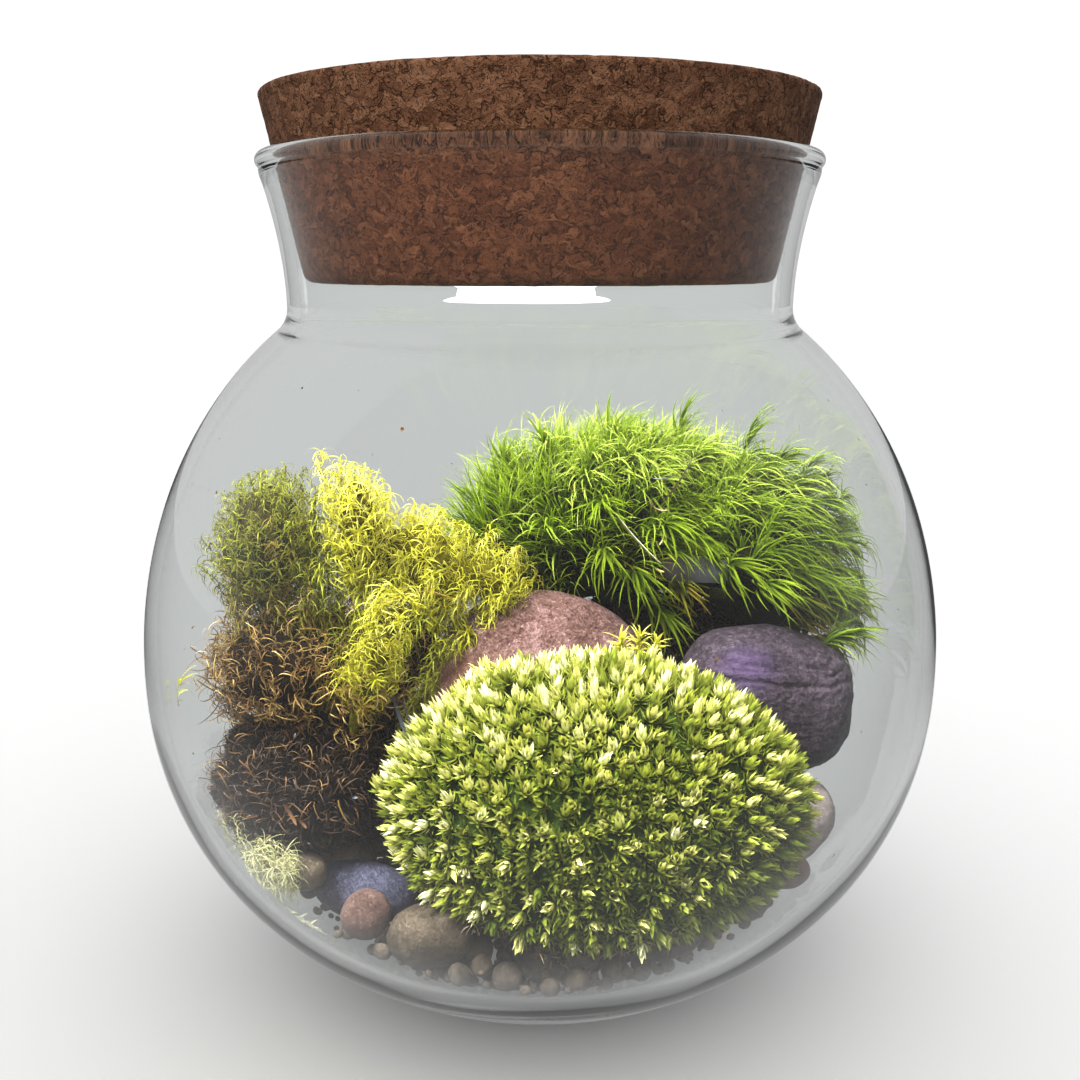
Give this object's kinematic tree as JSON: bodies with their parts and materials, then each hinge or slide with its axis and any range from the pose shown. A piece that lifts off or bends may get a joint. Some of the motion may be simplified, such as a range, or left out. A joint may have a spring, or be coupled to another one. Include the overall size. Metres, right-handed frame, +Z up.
{
  "type": "glass plant terrarium",
  "caption": "Round glass jar closed by a tapered cork, planted with moss clumps on stones and pebbles.",
  "frame": {"origin": "centre of the jar's flat standing ring, on the surface it stands on", "axes": "+Z up along the jar's axis, -Y towards the front, where the cushion moss is, +X to the right seen from the front"},
  "size_m": [0.16, 0.16, 0.1745],
  "materials": {
    "glass": "clear blown glass with a faint grey-green tint, polished, slightly wavy",
    "cork": "agglomerated cork granules, matt, warm brown with darker seams",
    "stone_pink": "water-worn pinkish brown stone, smooth, with darker mottling",
    "stone_purple": "rough purple-grey stone with two cracks along its length",
    "stone_brown": "matt grey-brown broken stone",
    "pebble_tan": "matt tan pebble with fine specks",
    "pebble_red": "matt reddish brown pebble",
    "pebble_grey": "matt blue-grey pebble",
    "pebble_dark": "matt dark brown pebble",
    "moss_cushion": "pale yellow-green star shoots over darker green, matt",
    "moss_felt": "brown fibrous felt, matt",
    "moss_soil": "black-brown peat bound by fine roots, matt",
    "moss_grass": "bright green long narrow leaves, softly glossy",
    "moss_dead": "brown dead moss stems, matt",
    "moss_olive": "olive green curly moss, matt",
    "moss_yellow": "bright yellow-green curly moss, matt",
    "moss_pale": "pale dry curly moss, matt"
  },
  "bodies": {
    "root": {"jar_glass": "glass", "cork_stopper": "cork", "stone_pink": "stone_pink", "stone_purple": "stone_purple", "stone_wedge": "stone_brown", "pebble_01": "pebble_tan", "pebble_02": "pebble_red", "pebble_03": "pebble_grey", "pebble_04": "pebble_dark", "pebble_05": "pebble_dark", "pebble_06": "pebble_dark", "pebble_07": "pebble_tan", "pebble_08": "pebble_red", "pebble_09": "pebble_tan", "pebble_10": "pebble_dark", "pebble_11": "pebble_tan", "pebble_12": "pebble_grey", "pebble_13": "pebble_red", "pebble_14": "pebble_dark", "pebble_15": "pebble_tan", "pebble_16": "pebble_dark", "pebble_17": "pebble_tan", "pebble_18": "pebble_grey", "pebble_19": "pebble_red", "pebble_20": "pebble_dark", "pebble_21": "pebble_tan", "pebble_22": "pebble_dark", "pebble_23": "pebble_tan", "pebble_24": "pebble_grey", "pebble_25": "pebble_red", "pebble_26": "pebble_dark", "pebble_27": "pebble_tan", "cushion_moss_green": "moss_cushion", "cushion_moss_underside": "moss_felt", "back_moss_base": "moss_soil", "back_moss_green": "moss_grass", "left_moss_peat": "moss_soil", "left_moss_brown": "moss_dead", "left_moss_olive": "moss_olive", "left_moss_yellow": "moss_yellow", "left_moss_sprig": "moss_yellow", "pale_moss_tuft": "moss_pale"}
  },
  "joints": []
}
